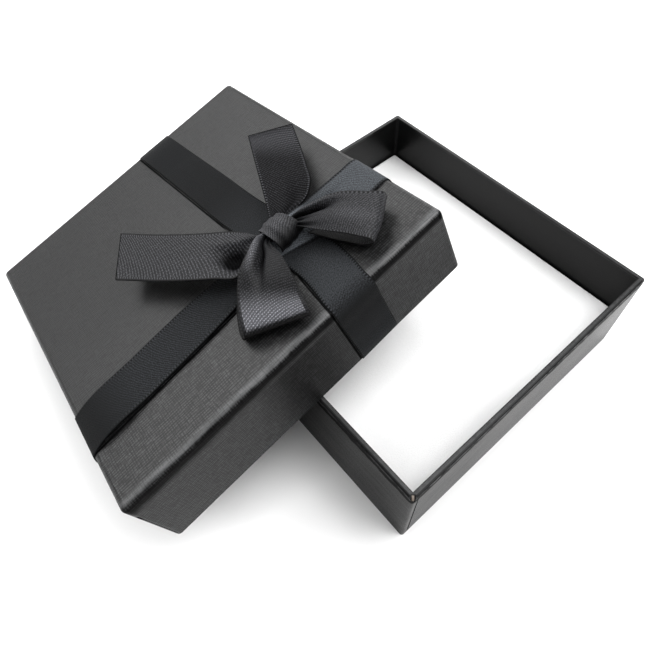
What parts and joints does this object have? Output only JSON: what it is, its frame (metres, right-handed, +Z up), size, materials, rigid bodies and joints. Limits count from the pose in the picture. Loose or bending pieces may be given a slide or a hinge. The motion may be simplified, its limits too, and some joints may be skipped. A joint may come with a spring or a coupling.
{
  "type": "gift box",
  "caption": "Rigid two-piece gift box: an open tray with a loose foam pad, and a linen-paper lid tied with a satin ribbon bow that leans on the tray.",
  "frame": {"origin": "centre of the tray's underside, on the surface it stands on", "axes": "+Z up; +X along the tray's front right wall, away from its front corner; +Y along its front left wall, away from the front corner"},
  "size_m": [0.1384, 0.1326, 0.0672],
  "materials": {
    "greyboard": "bare",
    "corner_tape": "matte",
    "tray_paper": "satin",
    "lid_paper": "linen embossed",
    "lining_paper": "matte",
    "pad_foam": "flocked",
    "ribbon": "satin",
    "bow_ribbon": "satin"
  },
  "bodies": {
    "tray": {"tray_board": "greyboard", "tray_wall_wrap": "tray_paper", "tray_base_sheet": "tray_paper", "tray_corner_stay_front": "corner_tape", "tray_corner_stay_right": "corner_tape", "tray_corner_stay_back": "corner_tape", "tray_corner_stay_left": "corner_tape"},
    "pad": {"foam_pad": "pad_foam"},
    "lid": {"lid_board": "greyboard", "lid_wrap": "lid_paper", "lid_liner": "lining_paper", "lid_corner_stay_front": "corner_tape", "lid_corner_stay_right": "corner_tape", "lid_corner_stay_back": "corner_tape", "lid_corner_stay_left": "corner_tape", "ribbon_long_band": "ribbon", "ribbon_cross_band": "ribbon", "bow_knot": "bow_ribbon", "bow_tail_left": "bow_ribbon", "bow_tail_back": "bow_ribbon", "bow_loop_front": "bow_ribbon", "bow_loop_right": "bow_ribbon"}
  },
  "joints": [
    {"name": "lid_lift", "type": "slide", "parent": "tray", "child": "lid", "axis": [0, 0, 1], "range_m": [0, 0.08]},
    {"name": "pad_lift", "type": "slide", "parent": "tray", "child": "pad", "axis": [0, 0, 1], "range_m": [0, 0.015]}
  ]
}
